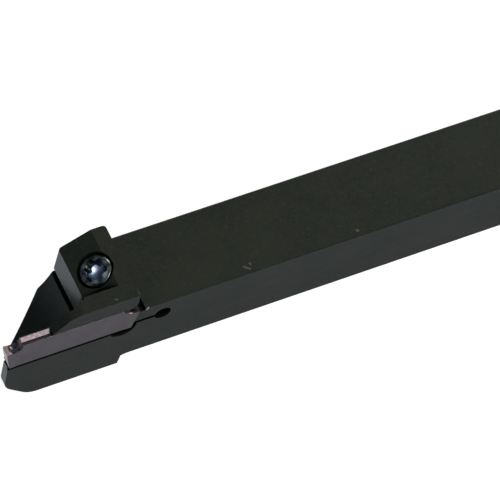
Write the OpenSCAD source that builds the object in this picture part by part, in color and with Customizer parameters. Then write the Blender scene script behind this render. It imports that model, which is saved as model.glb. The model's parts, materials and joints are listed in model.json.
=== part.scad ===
// Right-hand cut-off toolholder: one steel body with a spring upper jaw, a double-ended
// cutting insert in V guides, and the screw that pulls the jaw down on it.
// The origin is the centre of the shank's bottom face, +X points to the cutting edge
// and +Z up. The insert is on the +Y side.

/* [Shank] */
// Length from the rear end to the cutting edge
overall_len = 120; // [90:1:150]
// Height of the shank, which is also the height of the cutting edge
shank_h = 12; // [11:0.5:16]
// Width of the shank
shank_w = 12; // [10:0.5:16]
// Broken edge along the shank's corners and round its rear end
edge_break = 0.2; // [0.1:0.05:0.5]

/* [Head] */
// Length of the deepened head, from the cutting edge back to its step
head_len = 18.4; // [17:0.1:19.5]
// Depth of the head below the shank's seat
head_drop = 2; // [1:0.1:3]
// How far the step leans back on its way up
step_lean = 0.3; // [0:0.05:1]
// Length of each leg of the chamfer under the nose
chin_leg = 4.25; // [3:0.25:5]
// Radius that blends the chamfer into the front and the bottom
chin_r = 3.5; // [1:0.25:4]
// Radius of the hollow that clears the bar being cut off
bar_r = 13; // [12:0.25:14]
// Fillet left by the cutter where the hollow meets the blade
hollow_r = 0.8; // [0.4:0.1:1.2]
// Rounding of the hollow's edge on the far side
hollow_edge_r = 0.4; // [0.2:0.05:0.6]
// Angle of the head's slanted far wall to the shank
wall_angle = 40; // [35:1:45]
// Distance from the cutting edge back to where the slanted wall starts
wall_start = 10.8; // [10:0.1:12]

/* [Blade] */
// Distance of the blade's front behind the cutting edge
front_gap = 0.55; // [0.3:0.05:0.9]
// Distance of the blade's sides inside the cutting edge's ends
side_gap = 0.12; // [0.05:0.01:0.15]

/* [Upper jaw] */
// Height of the jaw's top above the shank's top
jaw_rise = 4.4; // [3.8:0.1:5]
// Distance from the insert's rear cutting edge forward to the jaw's rear face
jaw_gap = 0.4; // [0.3:0.05:0.6]
// Distance from the cutting edge back to the foot of the jaw's front wall
jaw_front = 12.55; // [12:0.05:13]
// How far that wall leans back
jaw_lean = 2.5; // [0:0.5:8]
// Fillet between that wall and the blade
jaw_fillet_r = 3; // [1:0.25:4]
// Distance from the cutting edge back to the tip of the jaw's nose
nose_back = 6.8; // [6:0.1:8]
// Slope of the nose
nose_angle = 45; // [40:1:50]
// Radius where the nose meets the jaw's top
nose_r = 4; // [1:0.25:4.5]
// Height of the blunt tip of the nose
nose_tip_h = 0.25; // [0.1:0.05:0.5]
// Width of the full-height rib behind the nose
rib_w = 2.5; // [2:0.1:3]
// Radius on the jaw's upright corners
jaw_corner_r = 0.5; // [0.2:0.1:0.8]
// Slope of the facet that the screw stands on
facet_angle = 28; // [24:1:30]
// Distance from the cutting edge back to the facet's upper edge
facet_back = 17.4; // [17:0.1:18]
// Length of the chamfer under the jaw's rear edge
rear_chamfer_len = 0.6; // [0.3:0.1:0.8]
// Height of that chamfer
rear_chamfer_h = 0.8; // [0.4:0.1:1]

/* [Slit] */
// Height of the slit that lets the upper jaw spring
slit_h = 0.6; // [0.4:0.05:0.8]
// Height of the slit's middle above the insert's seat
slit_rise = 0.95; // [0.8:0.05:1.2]
// Distance from the cutting edge back to the end of the slit's wide mouth
mouth_back = 16; // [14:0.25:17]
// Diameter of the round hole that ends the slit
hole_d = 2.5; // [2:0.1:3]
// Distance from the insert's rear cutting edge back to that hole
hole_gap = 4; // [3:0.25:6]

/* [Insert] */
// Length over the two cutting edges
insert_len = 20; // [19:0.1:21]
// Width of the cutting edge
edge_w = 1.6; // [1.4:0.1:2]
// Height of the cutting edge above the insert's underside
edge_rise = 4.15; // [3.6:0.05:4.4]
// Height of the insert's top above its cutting edge
crown_rise = 1.2; // [1:0.1:1.5]
// Amount by which each side of the insert's body stands inside the cutting edge
body_inset = 0.08; // [0.04:0.01:0.12]
// Length of the tapered ends, from the cutting edge to the parallel body
taper_len = 2.8; // [2:0.1:3.5]
// Height of the steep land below the cutting edge
land_h = 0.9; // [0.5:0.1:1.2]
// Relief angle of that land
land_relief = 5; // [3:0.5:8]
// Relief angle below the land
end_relief = 12; // [10:0.5:16]
// Length of the chip former, from the cutting edge to the insert's top
former_len = 2.4; // [1.8:0.1:2.6]
// Distance from the cutting edge back to the chip former's trough
trough_back = 0.9; // [0.6:0.1:1.1]
// Depth of that trough below the cutting edge
former_dip = 0.15; // [0.05:0.05:0.25]
// Width of the flat land on each side of the V guides
vee_land = 0.12; // [0.08:0.02:0.3]
// Depth of the V guides
vee_h = 0.35; // [0.2:0.05:0.4]
// Play between the insert and its seat, guides and stop
seat_play = 0.02; // [0.01:0.01:0.05]
// Play between the insert's far side and the side wall of its pocket
side_play = 0.1; // [0.05:0.01:0.2]

/* [Pocket relief] */
// Radius of the round relief under the insert's rear corner
relief_r = 2.1; // [1.8:0.05:2.2]
// Distance from the insert's rear cutting edge forward to the relief's centre
relief_back = 2.05; // [1.9:0.05:2.3]
// Height of the relief's centre above the insert's seat
relief_rise = 0.45; // [0.3:0.05:0.6]
// Room behind the insert's rear cutting edge
rear_room = 0.95; // [0.5:0.05:1.2]
// Width of that room, from the near side
rear_room_w = 2.1; // [1.8:0.1:2.5]
// Depth of that room below the cutting edge
rear_room_h = 0.5; // [0.3:0.05:0.8]

/* [Clamp screw] */
// Thread diameter
screw_d = 3.5; // [3:0.1:4]
// Length of the screw under its head
screw_len = 10; // [9:0.5:11]
// Diameter of the head
head_d = 4.8; // [4.4:0.1:5]
// Height of the head
head_h = 2.4; // [2:0.1:2.6]
// Radius on the rim of the head
head_rim_r = 0.5; // [0.3:0.05:0.6]
// Depth of the head's top below the facet
head_sink = 0.1; // [0:0.05:0.5]
// Diameter of the counterbore round the head
counterbore_d = 5.4; // [5.2:0.1:5.8]
// Distance from the cutting edge back to the screw, on the facet
screw_back = 15.6; // [15.4:0.1:16]
// Offset of the screw from the shank's middle, away from the insert
screw_off = 0.4; // [0:0.1:1]
// Diameter over the tips of the six-lobed socket
socket_d = 3.5; // [3:0.1:3.6]
// Radius of each lobe of the socket
lobe_r = 0.5; // [0.4:0.05:0.6]
// Diameter of the socket between its lobes
socket_core_d = 2.6; // [2.4:0.1:2.8]
// Turn of the tightened screw
socket_turn = 36; // [0:1:60]
// Depth of the socket
socket_h = 1.5; // [1:0.1:1.8]
// Chamfer at the tip of the screw
tip_break = 0.4; // [0.2:0.1:0.6]
// Play round the screw in its thread
thread_play = 0.03; // [0.01:0.01:0.08]
// Play round the screw in the upper jaw
jaw_play = 0.1; // [0.05:0.01:0.1]

/* [Hidden] */
$fn = 96;
over = 1;
far = 40;
hair = 0.01;

// Places are counted from the cutting edge, which lies at tip_x, negative to the rear
shank_len = overall_len - head_len;
tip_x = head_len + shank_len / 2;
near_y = shank_w / 2;
edge_z = shank_h;
seat_z = edge_z - edge_rise;
crown_z = edge_z + crown_rise;
jaw_z = shank_h + jaw_rise;
insert_y = near_y + side_gap - edge_w / 2;
jaw_back = insert_len - jaw_gap;
hole_back = insert_len + hole_gap;
blade_w = edge_w - 2 * side_gap;
blade_y = near_y - blade_w;
body_w = edge_w - 2 * body_inset;
vee_w = body_w - 2 * vee_land;
pocket_y = insert_y - edge_w / 2 - side_play;
slit_z = seat_z + slit_rise;
land_foot = land_h * tan(land_relief);
end_foot = land_foot + (edge_rise - land_h) * tan(end_relief);

// Corner c between its neighbours p and q, rounded to radius r
function unit2(v) = v / norm(v);
function arc_half(p, c, q) = acos(unit2(p - c) * unit2(q - c)) / 2;
function arc_centre(p, c, q, r) = c + unit2(unit2(p - c) + unit2(q - c)) * r / sin(arc_half(p, c, q));
function arc_start(p, c, r, half) = c + unit2(p - c) * r / tan(half);

// The sliver between a sharp corner and its rounding: cut from an outer corner,
// added to an inner one
module corner_sliver(p, c, q, r) {
    half = arc_half(p, c, q);
    centre = arc_centre(p, c, q, r);
    outside = c - unit2(centre - c) * hair;
    difference() {
        polygon([outside, arc_start(p, c, r, half), centre, arc_start(q, c, r, half)]);
        translate(centre) circle(r);
    }
}

// A side-view outline, drawn in X and Z, made solid from y0 to y1
module across(y0, y1) {
    translate([0, y1, 0]) rotate([90, 0, 0]) linear_extrude(y1 - y0) children();
}

// Frame of the screw: origin on the facet, +Z out along its axis
module at_screw() {
    screw_z = jaw_z - (facet_back - screw_back) * tan(facet_angle);
    translate([-screw_back, -screw_off, screw_z]) rotate([0, facet_angle, 0]) children();
}

module shank() {
    rear = shank_len + head_len;
    b = edge_break;
    intersection() {
        translate([-rear, 0, 0]) rotate([90, 0, 90]) linear_extrude(rear - jaw_back + over)
            polygon([[-near_y + b, 0], [near_y - b, 0], [near_y, b], [near_y, shank_h - b],
                [near_y - b, shank_h], [b - near_y, shank_h], [-near_y, shank_h - b], [-near_y, b]]);
        across(-far, far)
            polygon([[-rear, b], [b - rear, 0], [0, 0], [0, shank_h], [b - rear, shank_h],
                [-rear, shank_h - b]]);
        linear_extrude(far)
            polygon([[-rear, b - near_y], [b - rear, -near_y], [0, -near_y], [0, near_y],
                [b - rear, near_y], [-rear, near_y - b]]);
    }
}

// Side view of the lower part of the head, up to the slit
module lower_outline() {
    foot = [-head_len, -head_drop];
    front = -front_gap;
    chin_back = [front - chin_leg, -head_drop];
    chin_top = [front, chin_leg - head_drop];
    rear_top = [-jaw_back, slit_z];
    rear_low = [-jaw_back, edge_break];
    front_top = [front, slit_z];
    difference() {
        polygon([rear_top, rear_low, [-head_len - step_lean, 0], foot, chin_back, chin_top, front_top]);
        corner_sliver(foot, chin_back, chin_top, chin_r);
        corner_sliver(chin_back, chin_top, front_top, chin_r);
    }
}

// Side view of the upper jaw, from the slit to the top, with its nose
module jaw_outline() {
    nose_low = [-nose_back, crown_z];
    nose_tip = [-nose_back, crown_z + nose_tip_h];
    nose_top = [-nose_back - (jaw_z - crown_z - nose_tip_h) / tan(nose_angle), jaw_z];
    rear_top = [-jaw_back, jaw_z];
    difference() {
        polygon([[-jaw_back, slit_z], rear_top, nose_top, nose_tip, nose_low, [-nose_back, slit_z]]);
        corner_sliver(nose_tip, nose_top, rear_top, nose_r);
    }
}

// What the hollow for the bar removes below the slit: a disc with a rounded rim against
// the blade, flared at the far side to round the edge there
module bar_hollow() {
    depth = blade_y + near_y;
    translate([0, -near_y, edge_z]) rotate([-90, 0, 0]) rotate_extrude() {
        difference() {
            translate([0, -over]) square([bar_r, depth + over]);
            corner_sliver([bar_r, 0], [bar_r, depth], [0, depth], hollow_r);
        }
        corner_sliver([far, 0], [bar_r, 0], [bar_r, depth], hollow_edge_r);
    }
}

// What lies in front of the upper jaw's flat wall, with its fillet and the same flare
module before_jaw() {
    depth = blade_y + near_y;
    translate([-jaw_front, -near_y, slit_z + slit_h / 2]) rotate([0, -jaw_lean, 0])
        translate([0, 0, -far / 2]) linear_extrude(far) {
            difference() {
                translate([0, -over]) square([far, depth + over]);
                corner_sliver([0, 0], [0, depth], [far, depth], jaw_fillet_r);
            }
            corner_sliver([-far, 0], [0, 0], [0, depth], hollow_edge_r);
        }
}

// What lies beyond the slanted far wall
module beyond_wall() {
    translate([-wall_start, -near_y, -far / 2]) rotate([0, 0, wall_angle])
        translate([-far / 8, -far, 0]) cube([2 * far, far, 2 * far]);
}

// What lies above the facet, beside the rib
module above_facet() {
    rib_y = near_y - rib_w;
    translate([-facet_back, rib_y - far, jaw_z]) rotate([0, facet_angle, 0]) cube([far, far, far]);
}

// Room for the insert, open to the near side, with its reliefs
module pocket() {
    stop_low = slit_z;
    stop_x = -insert_len + land_foot - seat_play;
    stop_z = edge_z - land_h;
    low_x = stop_x + (stop_z - stop_low) * tan(end_relief);
    seat = seat_z - seat_play;
    roof = crown_z + seat_play;
    room_x = -insert_len - rear_room;
    room_z = edge_z - rear_room_h;
    stop_top_x = stop_x - (room_z - stop_z) * tan(end_relief);
    relief = [relief_back - insert_len, seat_z + relief_rise];
    across(pocket_y, near_y + over) {
        polygon([[over, seat], [low_x + over, seat], [low_x, stop_low], [stop_x, stop_z],
            [stop_top_x, room_z], [room_x, room_z], [room_x, edge_z + over], [-jaw_back, edge_z + over],
            [-jaw_back, roof + rear_chamfer_h], [-jaw_back + rear_chamfer_len, roof], [over, roof]]);
        intersection() {
            translate(relief) circle(relief_r);
            translate([-far, slit_z - far]) square([2 * far, far]);
        }
    }
    across(near_y - rear_room_w, near_y + over)
        translate([room_x, room_z]) square([-jaw_back - room_x, far]);
}

// Section of a V guide, drawn in Y and Z with its tip up
module vee_section(play) {
    w = vee_w / 2 - play;
    h = vee_h * w / (vee_w / 2);
    polygon([[-w, -play - hair], [w, -play - hair], [w, -play], [0, h - play], [-w, -play]]);
}

// A V guide along the insert, between two distances behind the cutting edge
module vee(front, back, play) {
    translate([-back, insert_y, 0]) rotate([90, 0, 90]) linear_extrude(back - front) vee_section(play);
}

module holder_body() {
    ridge_back = insert_len - relief_back - relief_r;
    color([0.17, 0.18, 0.16]) translate([tip_x, 0, 0]) {
        difference() {
            union() {
                shank();
                difference() {
                    across(-near_y, near_y) lower_outline();
                    bar_hollow();
                    beyond_wall();
                }
                difference() {
                    across(-near_y, near_y) jaw_outline();
                    before_jaw();
                    above_facet();
                    jaw_corner();
                }
            }
            pocket();
            slit();
            screw_holes();
        }
        translate([0, 0, seat_z]) vee(front_gap + over, ridge_back, seat_play);
        translate([0, 0, crown_z]) mirror([0, 0, 1]) vee(nose_back, jaw_back - over, seat_play);
    }
}

// The slit across the whole width, its wide mouth down to the level of the insert's seat,
// and the hole that ends it
module slit() {
    across(-far, far) {
        translate([-mouth_back, seat_z]) square([mouth_back + over, slit_z + slit_h / 2 - seat_z]);
        translate([-hole_back, slit_z]) circle(d = hole_d);
        translate([-hole_back, slit_z - slit_h / 2]) square([hole_back + over, slit_h]);
    }
}

// Rounding of the upper jaw's upright rear corner on the far side
module jaw_corner() {
    r = jaw_corner_r;
    rear = [-jaw_back, -near_y];
    translate([0, 0, shank_h]) linear_extrude(far)
        corner_sliver([0, -near_y], rear, [-jaw_back, 0], r);
}

module screw_holes() {
    floor = -head_sink - head_h - seat_play;
    thread_end = floor - screw_len - over;
    jaw_bore = (jaw_z - slit_z) / cos(facet_angle);
    at_screw() {
        translate([0, 0, floor]) cylinder(d = counterbore_d, h = far);
        translate([0, 0, thread_end]) cylinder(d = screw_d + 2 * thread_play, h = floor - thread_end + over);
        translate([0, 0, -jaw_bore]) cylinder(d = screw_d + 2 * jaw_play, h = jaw_bore);
    }
}

// Side view of the insert: two cutting edges, with a chip former behind each
module insert_outline() {
    half = insert_len / 2;
    end_low = half - end_foot;
    end_mid = half - land_foot;
    difference() {
        polygon([[-end_low, seat_z], [end_low, seat_z], [end_mid, edge_z - land_h], [half, edge_z],
            [half, crown_z], [-half, crown_z], [-half, edge_z], [-end_mid, edge_z - land_h]]);
        for (side = [-1, 1])
            former_cut(side * half, side);
    }
}

// One chip former: a shallow slope from the edge into a trough, then a round back wall
module former_cut(x, side) {
    trough_x = x - side * trough_back;
    wall_h = crown_rise + former_dip;
    r = (pow(former_len - trough_back, 2) + pow(wall_h, 2)) / (2 * wall_h);
    polygon([[x, edge_z], [trough_x, edge_z - former_dip], [trough_x, crown_z + over],
        [x + side * over, crown_z + over], [x + side * over, edge_z]]);
    intersection() {
        translate([trough_x, edge_z - former_dip + r]) circle(r);
        translate([min(x, x - side * former_len), edge_z - former_dip]) square([former_len, wall_h + over]);
    }
}

// Plan of the insert: widest at its cutting edges
module insert_plan() {
    half = insert_len / 2;
    body = half - taper_len;
    polygon([for (s = [[1, 1], [-1, 1], [-1, -1], [1, -1]]) for (k = (s[0] * s[1] > 0) ? [0, 1] : [1, 0])
        k == 0 ? [s[0] * half, s[1] * edge_w / 2] : [s[0] * body, s[1] * body_w / 2]]);
}

module cutting_insert() {
    half = insert_len / 2;
    color([0.42, 0.38, 0.38]) translate([tip_x, 0, 0]) difference() {
        translate([-half, insert_y, 0]) intersection() {
            across(-edge_w, edge_w) insert_outline();
            linear_extrude(crown_z + over) insert_plan();
        }
        translate([0, 0, seat_z]) vee(-over, insert_len + over, 0);
        translate([0, 0, crown_z]) mirror([0, 0, 1]) vee(-over, insert_len + over, 0);
    }
}

// The six-lobed socket
module socket() {
    linear_extrude(socket_h + over) {
        circle(d = socket_core_d);
        for (a = [0:60:300])
            rotate(a + socket_turn) translate([socket_d / 2 - lobe_r, 0]) circle(lobe_r);
    }
}

module clamp_screw() {
    head_r = head_d / 2;
    color([0.20, 0.21, 0.22]) translate([tip_x, 0, 0]) at_screw() translate([0, 0, -head_sink]) difference() {
        rotate_extrude() difference() {
            polygon([[0, 0], [head_r, 0], [head_r, -head_h], [screw_d / 2, -head_h],
                [screw_d / 2, tip_break - head_h - screw_len], [screw_d / 2 - tip_break, -head_h - screw_len],
                [0, -head_h - screw_len]]);
            corner_sliver([0, 0], [head_r, 0], [head_r, -head_h], head_rim_r);
        }
        translate([0, 0, -socket_h]) socket();
    }
}

holder_body();
cutting_insert();
clamp_screw();
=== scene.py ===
import json
import math

import bmesh
import bpy
import numpy as np
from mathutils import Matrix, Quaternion, Vector


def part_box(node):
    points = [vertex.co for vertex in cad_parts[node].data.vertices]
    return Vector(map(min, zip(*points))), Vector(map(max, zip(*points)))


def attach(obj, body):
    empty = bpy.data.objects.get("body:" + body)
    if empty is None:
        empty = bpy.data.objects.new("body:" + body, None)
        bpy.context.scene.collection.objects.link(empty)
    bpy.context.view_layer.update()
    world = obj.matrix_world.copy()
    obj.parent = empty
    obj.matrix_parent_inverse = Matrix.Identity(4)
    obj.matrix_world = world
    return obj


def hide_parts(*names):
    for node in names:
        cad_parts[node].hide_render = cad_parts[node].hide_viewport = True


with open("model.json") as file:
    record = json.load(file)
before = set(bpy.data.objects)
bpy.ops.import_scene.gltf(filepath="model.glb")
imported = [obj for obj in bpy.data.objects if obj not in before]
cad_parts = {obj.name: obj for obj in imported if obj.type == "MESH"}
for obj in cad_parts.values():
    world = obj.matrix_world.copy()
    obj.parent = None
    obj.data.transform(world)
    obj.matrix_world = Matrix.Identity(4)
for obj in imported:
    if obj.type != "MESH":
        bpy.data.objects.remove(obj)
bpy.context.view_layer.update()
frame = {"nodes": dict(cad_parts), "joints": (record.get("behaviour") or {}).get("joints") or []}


# Holder body
# The real piece is one bar of heat-treated alloy steel, milled and ground, with the spring jaw
# cut free by a slit. It is blackened in a hot oxide bath and oiled, which gives a satin black
# with the grinding lines still under it. Its edges are broken by hand.

MM = 0.001
holder_low, holder_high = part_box("holder_body")

# Heights of the shank's top and the jaw's top, and the side that has the insert, in millimetres.
SHANK_TOP = 12
JAW_TOP = holder_high.z / MM
INSERT_SIDE = holder_high.y / MM

# Marks of tools and chips on the tops and on the screw's facet, a bright nick in the edge, and the
# seam under the insert and the recess behind it, where shade is painted dark: both ends and the width,
# in millimetres.
MARKS = [
    ((49.35, 4.1, JAW_TOP), (49.55, 5.7, JAW_TOP), 0.45),
    ((32.55, 4.8, SHANK_TOP), (31.85, 5.4, SHANK_TOP), 0.40),
    ((31.55, 4.6, SHANK_TOP), (31.5, 4.7, SHANK_TOP), 0.45),
    ((14.9, 5.05, SHANK_TOP), (14.8, 5.15, SHANK_TOP), 0.55),
    ((48.3, -1.7, SHANK_TOP), (48.2, -1.6, SHANK_TOP), 0.50),
    ((53.05, 5.35, JAW_TOP), (52.95, 5.45, JAW_TOP), 0.38),
    ((53.75, -2.95, 15.45), (53.6, -2.8, 15.5), 0.50),
]
NICK = ((48.0, INSERT_SIDE, 11.5), (47.75, INSERT_SIDE, 11.9), 0.32)
SEAM = ((50.5, INSERT_SIDE, 7.55), (68.6, INSERT_SIDE, 7.55), 0.8)
RECESS = ((46.5, 3, 7.5), (53.5, 3, 7.3), 6.0)

# Sizes of the patterns, in millimetres, and how far the painted shade reaches out of a corner.
# On the real piece the grinding lines and the grit are hundredths of a millimetre wide, and they
# are drawn as coarse as they need to be to show. The lines stand LINE_SHARE as high as the grit.
BLOTCH = 8.33
MOTTLE = 0.909
GRIT = 0.385
GRIND_RUN = 8.33
GRIND_GAP = 0.3125
RUB = 1.11
CORNER_REACH = 1.7
LINE_SHARE = 0.25

# A Mix node's sockets for two colours, which share their names with those for numbers.
SHARE = 0
FIRST = 6
SECOND = 7
MIXED = 2


def hex_colour(text):
    """Linear RGBA of an sRGB hex value: ((c + 0.055) / 1.055) ^ 2.4, or c / 12.92 near black."""
    levels = np.array([int(text[i:i + 2], 16) for i in (1, 3, 5)]) / 255
    linear = np.where(levels <= 0.04045, levels / 12.92, ((levels + 0.055) / 1.055) ** 2.4)
    return (*linear.tolist(), 1.0)


def put(tree, kind, sockets=None, **settings):
    """Adds a node of the kind. The settings are the node's own, and sockets maps an input's name
    or number to a constant or to the output of another node."""
    made = tree.nodes.new("ShaderNode" + kind)
    for name, value in settings.items():
        setattr(made, name, value)
    for socket, value in (sockets or {}).items():
        if isinstance(value, bpy.types.NodeSocket):
            tree.links.new(value, made.inputs[socket])
        else:
            made.inputs[socket].default_value = value
    return made


def new_material(name):
    """A node material and its tree, with no node in it yet."""
    material = bpy.data.materials.new(name)
    material.use_nodes = True
    tree = material.node_tree
    tree.nodes.clear()
    return material, tree


def in_mm(tree, stretch=(1, 1, 1), centre=(0, 0, 0)):
    """Object coordinates in millimetres from a centre, with each axis stretched."""
    return put(tree, "Mapping", {
        "Vector": put(tree, "TexCoord").outputs["Object"],
        "Location": [-c * s for c, s in zip(centre, stretch)],
        "Scale": [s / MM for s in stretch],
    }).outputs[0]


def scratch(tree, start, end, width):
    """Mask of a scratch between two points in CAD millimetres: 1 within a sixth of the width from
    the segment, fading to 0 at half the width. The nearest point on it is a + t (b - a), with t
    held between 0 and 1."""
    run = Vector(end) - Vector(start)
    away = put(tree, "VectorMath", {0: in_mm(tree), 1: start}, operation="SUBTRACT").outputs[0]
    along = put(tree, "VectorMath", {0: away, 1: run / run.length_squared}, operation="DOT_PRODUCT")
    held = put(tree, "Math", {0: along.outputs["Value"], 1: 1.0}, operation="MULTIPLY", use_clamp=True)
    near = put(tree, "VectorMath", {0: run, "Scale": held.outputs[0]}, operation="SCALE").outputs[0]
    gap = put(tree, "VectorMath", {0: away, 1: near}, operation="DISTANCE").outputs["Value"]
    return put(tree, "MapRange", {
        "Value": gap, "From Min": width / 2, "From Max": width / 6,
    }).outputs[0]


def oxide_colour(tree, grit):
    """Dark olive, with soft blotches where the oil has lain, brown mottling and grey specks."""
    blotches = put(tree, "TexNoise", {
        "Vector": in_mm(tree), "Scale": 1 / BLOTCH, "Detail": 5.0, "Roughness": 0.6,
    }).outputs[0]
    mottle = put(tree, "TexNoise", {
        "Vector": in_mm(tree), "Scale": 1 / MOTTLE, "Detail": 4.0, "Roughness": 0.75,
    }).outputs[0]
    oily = put(tree, "MapRange", {"Value": blotches, "From Min": 0.35, "From Max": 0.65})
    brown = put(tree, "MapRange", {
        "Value": mottle, "From Min": 0.42, "From Max": 0.62, "To Max": 0.5,
    })
    specks = put(tree, "MapRange", {
        "Value": grit, "From Min": 0.6, "From Max": 0.75, "To Max": 0.5,
    })
    colour = hex_colour("#1E231B")
    for share, shade in ((oily, "#262A20"), (brown, "#2E2A1B"), (specks, "#3C3D35")):
        colour = put(tree, "Mix", {
            SHARE: share.outputs[0], FIRST: colour, SECOND: hex_colour(shade),
        }, data_type="RGBA").outputs[MIXED]
    return colour


def handled(tree, colour):
    """The colour with the oxide rubbed grey at the marks and broken to bare steel at the nick."""
    worn = 0.0
    for mark in MARKS:
        either = {0: scratch(tree, *mark), 1: worn}
        worn = put(tree, "Math", either, operation="MAXIMUM").outputs[0]
    for share, shade in ((worn, "#50524C"), (scratch(tree, *NICK), "#A8A8A2")):
        colour = put(tree, "Mix", {
            SHARE: share, FIRST: colour, SECOND: hex_colour(shade),
        }, data_type="RGBA").outputs[MIXED]
    return colour


def unshaded_share(tree):
    """Share left out of the painted shade, which darkens colour and shine: nearly 0 in corners,
    along the seam under the insert and in the recess behind it, and 1 on an open face."""
    # Painted shade: ambient occlusion darkens corners, and masks darken the seam and the recess.
    around = put(tree, "AmbientOcclusion", {"Distance": CORNER_REACH * MM}, samples=16, only_local=True)
    either = {0: scratch(tree, *SEAM), 1: scratch(tree, *RECESS)}
    shaded_places = put(tree, "Math", either, operation="MAXIMUM").outputs[0]
    out_of_corners = put(tree, "MapRange", {
        "Value": around.outputs["AO"], "From Min": 0.8, "From Max": 1.0, "To Min": 0.01,
    })
    out_of_shaded_places = put(tree, "MapRange", {
        "Value": shaded_places, "From Max": 0.55, "To Min": 1.0, "To Max": 0.02,
    })
    both = {0: out_of_corners.outputs[0], 1: out_of_shaded_places.outputs[0]}
    return put(tree, "Math", both, operation="MULTIPLY").outputs[0]


def blackened_steel(name, roughness, shine):
    """Hot black oxide under a film of oil: satin, faintly blue where it shines, with fine lines
    along the tool from the grinding, and with shade painted dull and near black into corners, the seam
    and the recess."""
    material, tree = new_material(name)
    grind = put(tree, "TexNoise", {
        "Vector": in_mm(tree, stretch=(1 / GRIND_RUN, 1 / GRIND_GAP, 1 / GRIND_GAP)),
        "Scale": 1.0,
        "Detail": 3.0,
    }).outputs[0]
    grit = put(tree, "TexNoise", {
        "Vector": in_mm(tree), "Scale": 1 / GRIT, "Detail": 2.0,
    }).outputs[0]
    # Painted shade: the colour goes near black and the shine goes out in corners, along the seam under
    # the insert and in the recess behind it.
    unshaded = unshaded_share(tree)
    colour = put(tree, "Mix", {
        SHARE: unshaded,
        FIRST: hex_colour("#020202"),
        SECOND: handled(tree, oxide_colour(tree, grit)),
    }, data_type="RGBA").outputs[MIXED]
    height = put(tree, "Math", {0: grind, 1: LINE_SHARE, 2: grit}, operation="MULTIPLY_ADD").outputs[0]
    bump = put(tree, "Bump", {"Height": height, "Strength": 0.35, "Distance": 0.006 * MM})
    dullness = put(tree, "MapRange", {
        "Value": grind,
        "From Min": 0.3,
        "From Max": 0.7,
        "To Min": roughness - 0.03,
        "To Max": roughness + 0.03,
    })
    gloss = put(tree, "Math", {0: unshaded, 1: shine}, operation="MULTIPLY")
    shader = put(tree, "BsdfPrincipled", {
        "Base Color": colour,
        "Metallic": 0.0,
        "Roughness": dullness.outputs[0],
        "Specular IOR Level": gloss.outputs[0],
        "Specular Tint": hex_colour("#BEDDFA"),
        "Normal": bump.outputs[0],
    })
    put(tree, "OutputMaterial", {"Surface": shader.outputs[0]})
    return material


def rubbed_edge():
    """The broken edges of the blackened steel: a thin greyish line, brighter in spots, where
    handling has rubbed the oxide thin."""
    material, tree = new_material("rubbed_black_oxide_edge")
    rub = put(tree, "TexNoise", {
        "Vector": in_mm(tree), "Scale": 1 / RUB, "Detail": 4.0, "Roughness": 0.7,
    }).outputs[0]
    thin = put(tree, "MapRange", {"Value": rub, "From Min": 0.55, "From Max": 0.75})
    colour = put(tree, "Mix", {
        SHARE: thin.outputs[0],
        FIRST: hex_colour("#2B2D28"),
        SECOND: hex_colour("#6E6F6A"),
    }, data_type="RGBA").outputs[MIXED]
    shader = put(tree, "BsdfPrincipled", {
        "Base Color": colour,
        "Metallic": 0.3,
        "Roughness": 0.42,
        "Specular IOR Level": 0.3,
    })
    put(tree, "OutputMaterial", {"Surface": shader.outputs[0]})
    return material


# Points closer than WELD are one, and faces that lean less than FLAT are one face. An edge is
# broken where its faces lean more than SHARP, and a face looks to the front where its normal's
# share along the tool is over FRONTAL.
WELD = 0.001 * MM
FLAT = math.radians(0.2)
SHARP = math.radians(20)
FRONTAL = 0.97
EDGE_SLOT = 1
FRONT_SLOT = 2


def eased_copy(node, name, width, materials):
    """A copy of a CAD solid, its triangles merged into whole faces, with each sharp outward edge
    broken by a small round of the given width, which takes the second material. Faces that look
    to the front take the third."""
    mesh = frame["nodes"][node].data.copy()
    mesh.name = name
    shading = mesh.attributes.get("custom_normal")
    if shading is not None:
        mesh.attributes.remove(shading)
    work = bmesh.new()
    work.from_mesh(mesh)
    bmesh.ops.remove_doubles(work, verts=work.verts, dist=WELD)
    bmesh.ops.dissolve_limit(work, angle_limit=FLAT, verts=work.verts, edges=work.edges)
    weight = work.edges.layers.float.new("bevel_weight_edge")
    for edge in work.edges:
        outward = len(edge.link_faces) == 2 and edge.calc_face_angle_signed() > SHARP
        edge[weight] = 1.0 if outward else 0.0
    work.to_mesh(mesh)
    work.free()
    mesh.materials.clear()
    for material in materials:
        mesh.materials.append(material)
    piece = bpy.data.objects.new(name, mesh)
    bpy.context.scene.collection.objects.link(piece)
    mesh.polygons.foreach_set("use_smooth", np.ones(len(mesh.polygons), bool))
    mesh.set_sharp_from_angle(angle=SHARP)
    normals = np.empty(3 * len(mesh.polygons))
    mesh.polygons.foreach_get("normal", normals)
    slots = np.where(normals[::3] > FRONTAL, FRONT_SLOT, 0)
    mesh.polygons.foreach_set("material_index", slots)
    bevel = piece.modifiers.new("broken edges", "BEVEL")
    bevel.limit_method = "WEIGHT"
    bevel.width = width
    bevel.segments = 2
    bevel.material = EDGE_SLOT
    bevel.harden_normals = True
    bevel.use_clamp_overlap = True
    shade = piece.modifiers.new("flat faces", "WEIGHTED_NORMAL")
    shade.keep_sharp = True
    return piece


ground = blackened_steel("black_oxide_ground_steel", roughness=0.48, shine=0.155)
milled = blackened_steel("black_oxide_milled_steel", roughness=0.21, shine=0.48)
body = eased_copy("holder_body", "ground_holder_body", 0.07 * MM, [ground, rubbed_edge(), milled])
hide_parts("holder_body")
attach(body, "holder")


# Cutting insert
# The real piece is pressed and sintered cemented carbide, with both ends ground to size and a
# thin bronze-violet coating laid on in a vacuum. It slides into the V guides from the front.

insert_low, insert_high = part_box("cutting_insert")

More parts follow.
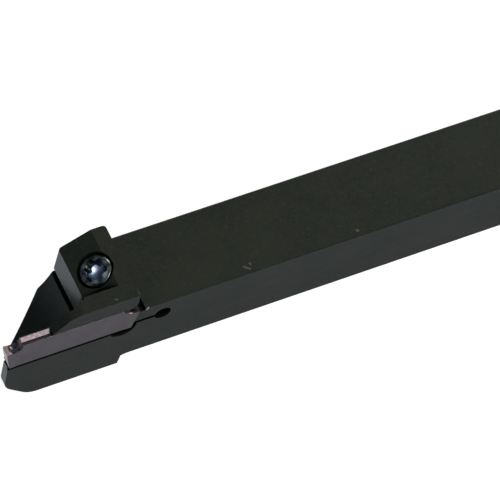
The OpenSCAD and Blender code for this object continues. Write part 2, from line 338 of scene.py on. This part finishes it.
# The insert's middle and half its length, and the places of a chip former: the cup starts behind
# the land and runs to the back wall, and the polished faces lie above the guides and within a
# stretch of either end. All in millimetres, the last three lengths from the insert's end.
MIDDLE = (insert_low + insert_high) / (2 * MM)
HALF_LENGTH = (insert_high.x - insert_low.x) / (2 * MM)
CUP_HALF_WIDTH = 0.6
ABOVE_GUIDES = 11.6
LAND = 0.2
CUP_BACK = 2.2
POLISHED_STRETCH = (0.5, 2.3)

# Sizes of the pressed grain and of the coating's changes of tint, in millimetres. The real
# grain is far finer, and is drawn as coarse as it needs to be to show.
PRESSED_GRAIN = 0.333
TINT = 2.86


def cup(tree):
    """Depth of the cup in each chip former, from 0 to 1: sin2(pi s) sin2(pi t), where s runs from
    the back wall to the land and t across the insert. The two are alike about its middle."""
    place = put(tree, "SeparateXYZ", {0: in_mm(tree, centre=(MIDDLE.x, MIDDLE.y, 0))}).outputs
    off = put(tree, "Math", {0: place["X"]}, operation="ABSOLUTE").outputs[0]
    lengthwise = put(tree, "MapRange", {
        "Value": off,
        "From Min": HALF_LENGTH - CUP_BACK,
        "From Max": HALF_LENGTH - LAND,
        "To Max": math.pi,
    })
    crosswise = put(tree, "MapRange", {
        "Value": place["Y"],
        "From Min": -CUP_HALF_WIDTH,
        "From Max": CUP_HALF_WIDTH,
        "To Max": math.pi,
    })
    along = put(tree, "Math", {0: lengthwise.outputs[0]}, operation="SINE")
    across = put(tree, "Math", {0: crosswise.outputs[0]}, operation="SINE")
    both = put(tree, "Math", {0: along.outputs[0], 1: across.outputs[0]}, operation="MULTIPLY")
    return put(tree, "Math", {0: both.outputs[0], 1: 2.0}, operation="POWER").outputs[0]


def coated_carbide(name, colour_low, colour_high, roughness, grain_strength, cup_depth=0.0):
    """Vacuum coating on sintered carbide: a dusky violet metal, satin over the pressed grain. The
    grain shows less where the carbide was ground, honed or polished before it was coated."""
    material, tree = new_material(name)
    grain = put(tree, "TexNoise", {
        "Vector": in_mm(tree), "Scale": 1 / PRESSED_GRAIN, "Detail": 4.0, "Roughness": 0.65,
    }).outputs[0]
    tint = put(tree, "TexNoise", {
        "Vector": in_mm(tree), "Scale": 1 / TINT, "Detail": 2.0,
    }).outputs[0]
    paler = put(tree, "MapRange", {"Value": tint, "From Min": 0.35, "From Max": 0.65})
    colour = put(tree, "Mix", {
        SHARE: paler.outputs[0],
        FIRST: hex_colour(colour_low),
        SECOND: hex_colour(colour_high),
    }, data_type="RGBA").outputs[MIXED]
    bump = put(tree, "Bump", {"Height": grain, "Strength": grain_strength, "Distance": 0.01 * MM})
    if cup_depth:
        bump = put(tree, "Bump", {
            "Height": cup(tree), "Strength": 1.0, "Distance": cup_depth, "Normal": bump.outputs[0],
        }, invert=True)
    dullness = put(tree, "MapRange", {
        "Value": grain,
        "From Min": 0.3,
        "From Max": 0.7,
        "To Min": roughness - 0.04,
        "To Max": roughness + 0.06,
    })
    shader = put(tree, "BsdfPrincipled", {
        "Base Color": colour,
        "Metallic": 1.0,
        "Roughness": dullness.outputs[0],
        "Normal": bump.outputs[0],
    })
    put(tree, "OutputMaterial", {"Surface": shader.outputs[0]})
    return material


def polish_formers(piece, material):
    """Gives the polished material to both chip formers: the faces that look up, above the guides
    and within the polished stretch of either end."""
    mesh = piece.data
    middles = np.empty(3 * len(mesh.polygons))
    mesh.polygons.foreach_get("center", middles)
    x, _, z = (middles.reshape(-1, 3) / MM).T
    normals = np.empty(3 * len(mesh.polygons))
    mesh.polygons.foreach_get("normal", normals)
    looks_up = normals[2::3] > 0.05
    from_end = HALF_LENGTH - np.abs(x - MIDDLE.x)
    nearest, farthest = POLISHED_STRETCH
    former = looks_up & (z > ABOVE_GUIDES) & (from_end > nearest) & (from_end < farthest)
    mesh.materials.append(material)
    slots = np.zeros(len(mesh.polygons), int)
    mesh.polygons.foreach_get("material_index", slots)
    slots[former] = len(mesh.materials) - 1
    mesh.polygons.foreach_set("material_index", slots)


coating = coated_carbide("violet_coated_carbide", "#554E52", "#60585C", 0.38, 0.3)
honed = coated_carbide("honed_coated_edge", "#4E484C", "#5A5457", 0.30, 0.1)
# Painted light: the ground faces that look to the front take a far paler copy of the coating, which
# stands in for the light they catch.
ground_front_painted_light = coated_carbide("ground_relief_painted_light", "#CBBFC4", "#D6CACF", 0.52, 0.1)
polished = coated_carbide("polished_chip_former", "#5E5559", "#6B6166", 0.31, 0.05, cup_depth=0.3 * MM)
insert_materials = [coating, honed, ground_front_painted_light]
insert = eased_copy("cutting_insert", "pressed_cutting_insert", 0.05 * MM, insert_materials)
polish_formers(insert, polished)
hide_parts("cutting_insert")
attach(insert, "insert")


# Clamp screw
# The real piece is a cold-forged screw of hardened steel, with a rolled thread and a six-lobed
# socket pressed into its head, blackened and oiled. It stands across the slit and pulls the jaw
# down on the insert.

# The head: its rounded rim, its slight crown, the broken edge under it, and how far its top
# stands below the joint's point.
HEAD_R = 2.4 * MM
HEAD_H = 2.4 * MM
RIM_R = 0.5 * MM
CROWN = 0.04 * MM
UNDER_BREAK = 0.1 * MM
HEAD_SINK = 0.1 * MM

# The threaded shank: a fillet and a neck under the head, a thread of the metric depth, and a
# broken edge and a slight taper at the tip. CREST and ROOT are shares of the pitch.
SHANK_R = 1.75 * MM
SHANK_LEN = 10 * MM
SHANK_FILLET = 0.02 * MM
PITCH = 0.6 * MM
THREAD_DEPTH = 0.6134 * PITCH
CREST = 0.125
ROOT = 0.25
NECK = 0.5 * MM
TIP_BREAK = 0.4 * MM
TIP_TAPER = 0.97

# The six-lobed socket, its flared mouth and its dished floor with a fillet round it. FLARE is
# how much wider the mouth is at its lower and upper ring, and FLOOR_SHARES are the floor's
# rings, both as shares of the outline.
LOBES = 6
LOBE_R = 0.5 * MM
LOBE_CENTRE = 1.25 * MM
CORE_R = 1.3 * MM
SOCKET_TURN = math.radians(36)
SOCKET_H = 1.4 * MM
MOUTH = 0.12 * MM
FLARE = (1.02, 1.03)
DISH = 0.12 * MM
FLOOR_FILLET = 0.04 * MM
FLOOR_SHARES = (0.1, 0.2, 0.3, 0.4, 0.5, 0.6, 0.7, 0.8, 0.9, 0.97)

# Points round each ring, rings in the rim's quarter circle, rings in one pitch of the thread,
# the first of them below the head, and the angle from which an edge is drawn sharp.
AROUND = 144
RIM_STEPS = 10
PITCH_STEPS = 10
FIRST_RING = 0.05 * MM
CREASE = math.radians(35)

# Sizes of the oil's smears and of the forged grain, in millimetres.
SMEAR = 1.25
FORGED_GRAIN = 0.25


def lobed_radius(angle):
    """Radius of the six-lobed outline: the farther of the core circle and the lobe's circle,
    which a ray at angle a from the lobe's middle meets at c cos a + sqrt(r2 - c2 sin2 a)."""
    half = math.pi / LOBES
    off = (angle - SOCKET_TURN + half) % (2 * half) - half
    inside = np.clip(LOBE_R ** 2 - (LOBE_CENTRE * np.sin(off)) ** 2, 0, None)
    lobe = np.where(inside > 0, LOBE_CENTRE * np.cos(off) + np.sqrt(inside), 0)
    return np.maximum(lobe, CORE_R)


def threaded_radius(height, angle):
    """Radius of the rolled thread: a wave of the height and the angle together, its crest an
    eighth and its root a quarter of the pitch wide, fading in below the neck."""
    phase = (height / PITCH + angle / (2 * math.pi)) % 1
    wave = np.abs(2 * phase - 1)
    cut = np.clip((wave - CREST) / (1 - CREST - ROOT), 0, 1)
    run_in = np.clip((-HEAD_H - NECK - height) / PITCH, 0, 1)
    return SHANK_R - THREAD_DEPTH * cut * run_in


def screw_rings():
    """Rings from the socket's floor over the head and down to the tip, as radius and height for
    each ring and angle. The head's rim is a quarter circle, the socket flares at its mouth, and
    its floor is a shallow dish, as the punch leaves it."""
    angle = np.linspace(0, 2 * math.pi, AROUND, endpoint=False)
    lobes = lobed_radius(angle)
    one = np.ones(AROUND)
    farthest = LOBE_CENTRE + LOBE_R
    rings = [(lobes * share, -SOCKET_H - DISH * (1 - (lobes * share / farthest) ** 2))
             for share in FLOOR_SHARES]
    rings.append((lobes, -SOCKET_H + FLOOR_FILLET))
    rings.append((lobes * FLARE[0], -MOUTH))
    rings.append((np.maximum(lobes * FLARE[1], CORE_R + MOUTH), 0.0))
    for lean in np.linspace(0, math.pi / 2, RIM_STEPS):
        rings.append((one * (HEAD_R - RIM_R + RIM_R * math.sin(lean)),
                      (RIM_R - CROWN) * (math.cos(lean) - 1) - CROWN))
    rings.append((one * HEAD_R, -HEAD_H + UNDER_BREAK))
    rings.append((one * (HEAD_R - UNDER_BREAK), -HEAD_H))
    rings.append((one * (SHANK_R + SHANK_FILLET), -HEAD_H))
    thread_end = -HEAD_H - SHANK_LEN + TIP_BREAK
    for height in np.arange(-HEAD_H - FIRST_RING, thread_end, -PITCH / PITCH_STEPS):
        rings.append((threaded_radius(height, angle), height))
    rings.append((threaded_radius(thread_end, angle), thread_end))
    rings.append((one * (SHANK_R - TIP_BREAK) * TIP_TAPER, thread_end - TIP_BREAK))
    radius = np.array([r for r, _ in rings])
    height = np.array([one * h for _, h in rings])
    return angle, radius, height


def turned_mesh(name, angle, radius, height, origin, axis):
    """A closed surface of rings about the axis: ring i, angle a is at r cos a, r sin a, h, and
    the first and last rings close on their own centres."""
    side = Vector((axis.z, 0, -axis.x)).normalized()
    across = axis.cross(side)
    flat = radius[..., None] * (np.cos(angle)[:, None] * np.array(side)
                                + np.sin(angle)[:, None] * np.array(across))
    points = flat + height[..., None] * np.array(axis) + np.array(origin)
    rows, columns = radius.shape
    ends = np.array([points[0].mean(0), points[-1].mean(0)])
    vertices = np.concatenate([points.reshape(-1, 3), ends])
    row, column = np.meshgrid(np.arange(rows - 1), np.arange(columns), indexing="ij")
    following = (column + 1) % columns
    quads = np.stack([row * columns + column, (row + 1) * columns + column,
                      (row + 1) * columns + following, row * columns + following], -1)
    ring = np.arange(columns)
    first = np.stack([ring, (ring + 1) % columns, np.full(columns, rows * columns)], -1)
    last_row = (rows - 1) * columns
    last = np.stack([last_row + (ring + 1) % columns, last_row + ring,
                     np.full(columns, rows * columns + 1)], -1)
    mesh = bpy.data.meshes.new(name)
    faces = quads.reshape(-1, 4).tolist() + first.tolist() + last.tolist()
    mesh.from_pydata(vertices.tolist(), [], faces)
    mesh.polygons.foreach_set("use_smooth", np.ones(len(mesh.polygons), bool))
    mesh.set_sharp_from_angle(angle=CREASE)
    return mesh


def forged_steel(name, colour_low, colour_high, roughness):
    """Oiled black finish on forged steel: a dark semi-gloss, smeared with oil, and bluish and
    bright where the punch and the driver have burnished it."""
    material, tree = new_material(name)
    smear = put(tree, "TexNoise", {
        "Vector": in_mm(tree), "Scale": 1 / SMEAR, "Detail": 3.0,
    }).outputs[0]
    paler = put(tree, "MapRange", {"Value": smear, "From Min": 0.4, "From Max": 0.65})
    colour = put(tree, "Mix", {
        SHARE: paler.outputs[0],
        FIRST: hex_colour(colour_low),
        SECOND: hex_colour(colour_high),
    }, data_type="RGBA").outputs[MIXED]
    grain = put(tree, "TexNoise", {
        "Vector": in_mm(tree), "Scale": 1 / FORGED_GRAIN, "Detail": 2.0,
    }).outputs[0]
    bump = put(tree, "Bump", {"Height": grain, "Strength": 0.04, "Distance": 0.01 * MM})
    dullness = put(tree, "MapRange", {
        "Value": smear,
        "From Min": 0.3,
        "From Max": 0.7,
        "To Min": roughness - 0.03,
        "To Max": roughness + 0.06,
    })
    shader = put(tree, "BsdfPrincipled", {
        "Base Color": colour,
        "Metallic": 1.0,
        "Roughness": dullness.outputs[0],
        "Normal": bump.outputs[0],
    })
    put(tree, "OutputMaterial", {"Surface": shader.outputs[0]})
    return material


screw_joint = next(joint for joint in frame["joints"] if joint["name"] == "screw_turn")
screw_axis = Vector(screw_joint["axis"]).normalized()
head_top = Vector(screw_joint["pos_m"]) - HEAD_SINK * screw_axis
screw_mesh = turned_mesh("threaded_clamp_screw", *screw_rings(), head_top, screw_axis)
screw_mesh.materials.append(forged_steel("oiled_black_forged_steel", "#37403F", "#7C8683", 0.33))
screw_mesh.materials.append(forged_steel("burnished_socket_floor", "#616A76", "#8290A0", 0.15))

# The socket floor's faces are the four-sided ones between its rings, which come first, and the
# triangles at its centre, which come after all the four-sided ones.
order = np.arange(len(screw_mesh.polygons))
floor_quads = (len(FLOOR_SHARES) - 1) * AROUND
all_quads = len(order) - 2 * AROUND
on_floor = (order < floor_quads) | ((order >= all_quads) & (order < all_quads + AROUND))
screw_mesh.polygons.foreach_set("material_index", on_floor.astype(int))
screw = bpy.data.objects.new("threaded_clamp_screw", screw_mesh)
bpy.context.scene.collection.objects.link(screw)
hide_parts("clamp_screw")
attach(screw, "screw")


# Floor
# A plain pale sheet under the tool, tipped so that the tool rests on it as it would on a table:
# on the rear end of its shank and on the heel of its deeper head.

def paper():
    """Matt white paper. To the camera it is as white as the backdrop, less the tool's shadow,
    and in reflections it is about a third as bright."""
    material, tree = new_material("matt_white_paper")
    path = put(tree, "LightPath").outputs
    shiny = put(tree, "Math", {0: path["Is Glossy Ray"], 1: 0.3}, operation="MULTIPLY")
    seen = put(tree, "Math", {0: path["Is Camera Ray"], 1: shiny.outputs[0]}, operation="MAXIMUM")
    plain = put(tree, "BsdfDiffuse", {"Color": hex_colour("#DDE6F0")})
    dim = put(tree, "BsdfDiffuse", {"Color": hex_colour("#898989")})
    glow = put(tree, "Emission", {"Color": hex_colour("#FFFFFF"), "Strength": 0.93})
    lit = put(tree, "AddShader", {0: dim.outputs[0], 1: glow.outputs[0]})
    shader = put(tree, "MixShader", {
        0: seen.outputs[0], 1: plain.outputs[0], 2: lit.outputs[0],
    })
    put(tree, "OutputMaterial", {"Surface": shader.outputs[0]})
    return material


# The heel's place along the tool, the broken edge at the shank's rear end, and how far the sheet
# reaches each way. Its slope is that of the line from the rear edge to the heel.
HEEL_X = 50.8 * MM
EDGE_BREAK = 0.2 * MM
REACH = 3.0
heel = Vector((HEEL_X, 0, holder_low.z))
rear = Vector((holder_low.x + EDGE_BREAK, 0, 0))
slope = math.atan2(rear.z - heel.z, heel.x - rear.x)
drop = REACH * math.sin(slope)
level_run = REACH * math.cos(slope)
floor_mesh = bpy.data.meshes.new("floor")
floor_mesh.from_pydata([
    (heel.x - level_run, -REACH, heel.z + drop),
    (heel.x + level_run, -REACH, heel.z - drop),
    (heel.x + level_run, REACH, heel.z - drop),
    (heel.x - level_run, REACH, heel.z + drop),
], [], [(0, 1, 2, 3)])
floor_mesh.materials.append(paper())
floor = bpy.data.objects.new("floor", floor_mesh)
bpy.context.scene.collection.objects.link(floor)


# Light
# A white room that is bright at the horizon, dim overhead and darkest ahead of the nose. The
# large key lamp is behind the tool, a second one over the insert's side lights its upper V, and
# a small one beyond the head glints in the screw's socket.

# The lamps face a point in the head, from LAMP_DISTANCE away.
LIT_POINT = Vector((40, 0, 10)) * MM
LAMP_DISTANCE = 0.9


def lamp(name, direction, size, watts, colour):
    """A square lamp that faces the head from the given direction."""
    data = bpy.data.lights.new(name, "AREA")
    data.color = hex_colour(colour)[:3]
    data.size = size
    data.energy = watts
    made = bpy.data.objects.new(name, data)
    towards = Vector(direction).normalized()
    made.location = LIT_POINT + LAMP_DISTANCE * towards
    made.rotation_euler = (-towards).to_track_quat("-Z", "Y").to_euler()
    bpy.context.scene.collection.objects.link(made)


lamp("key softbox", (-0.62, -0.55, 0.56), size=0.4, watts=3.3, colour="#FFF3E0")
lamp("side softbox", (-0.33, 0.53, 0.78), size=0.30, watts=4.2, colour="#FFF8F2")
lamp("glint", (0.47, -0.26, 0.72), size=0.06, watts=0.42, colour="#EAF0FF")

# The room's strength is by_height, from the horizon to overhead, times by_side, which darkens it
# round the direction ahead of the nose.
AHEAD_OF_NOSE = (0.85, -0.41, 0.33)
world = bpy.data.worlds.new("white room")
world.use_nodes = True
room = world.node_tree
room.nodes.clear()
outward = put(room, "TexCoord").outputs["Generated"]
up = put(room, "SeparateXYZ", {0: outward}).outputs["Z"]
ahead = put(room, "VectorMath", {0: outward, 1: AHEAD_OF_NOSE}, operation="DOT_PRODUCT")
by_height = put(room, "MapRange", {
    "Value": up, "From Max": 0.45, "To Min": 0.8, "To Max": 0.2,
})
by_side = put(room, "MapRange", {
    "Value": ahead.outputs["Value"], "From Min": 0.7, "From Max": 0.95, "To Min": 1.0, "To Max": 0.12,
})
both = {0: by_height.outputs[0], 1: by_side.outputs[0]}
level = put(room, "Math", both, operation="MULTIPLY")
sky = put(room, "Background", {"Color": hex_colour("#D4E8FF"), "Strength": level.outputs[0]})
put(room, "OutputWorld", {"Surface": sky.outputs[0]})
bpy.context.scene.world = world


# Camera
# The photograph looks down on the tool from its insert's side and a little from the front, with
# a long lens and the picture turned by 16 degrees.

# The point that the camera looks at, its direction and distance, and its lens, all found from
# the tool's own edges in the photograph.
AIM = Vector((28.25, -0.23, 6)) * MM
AZIMUTH = math.radians(50.934)
ELEVATION = math.radians(58.382)
DISTANCE = 0.6175
ROLL = math.radians(16.034)
SENSOR = 36.0
LENS = 314.89

towards_camera = Vector((
    math.cos(ELEVATION) * math.cos(AZIMUTH),
    math.cos(ELEVATION) * math.sin(AZIMUTH),
    math.sin(ELEVATION),
))
view = (-towards_camera).to_track_quat("-Z", "Y") @ Quaternion((0, 0, 1), ROLL)
camera_data = bpy.data.cameras.new("camera")
camera_data.sensor_width = SENSOR
camera_data.lens = LENS
camera_data.clip_start = 0.01
camera_data.clip_end = 20
camera = bpy.data.objects.new("camera", camera_data)
camera.location = AIM + DISTANCE * towards_camera
camera.rotation_mode = "QUATERNION"
camera.rotation_quaternion = view
bpy.context.scene.collection.objects.link(camera)
bpy.context.scene.camera = camera
bpy.context.scene.view_settings.view_transform = "Standard"
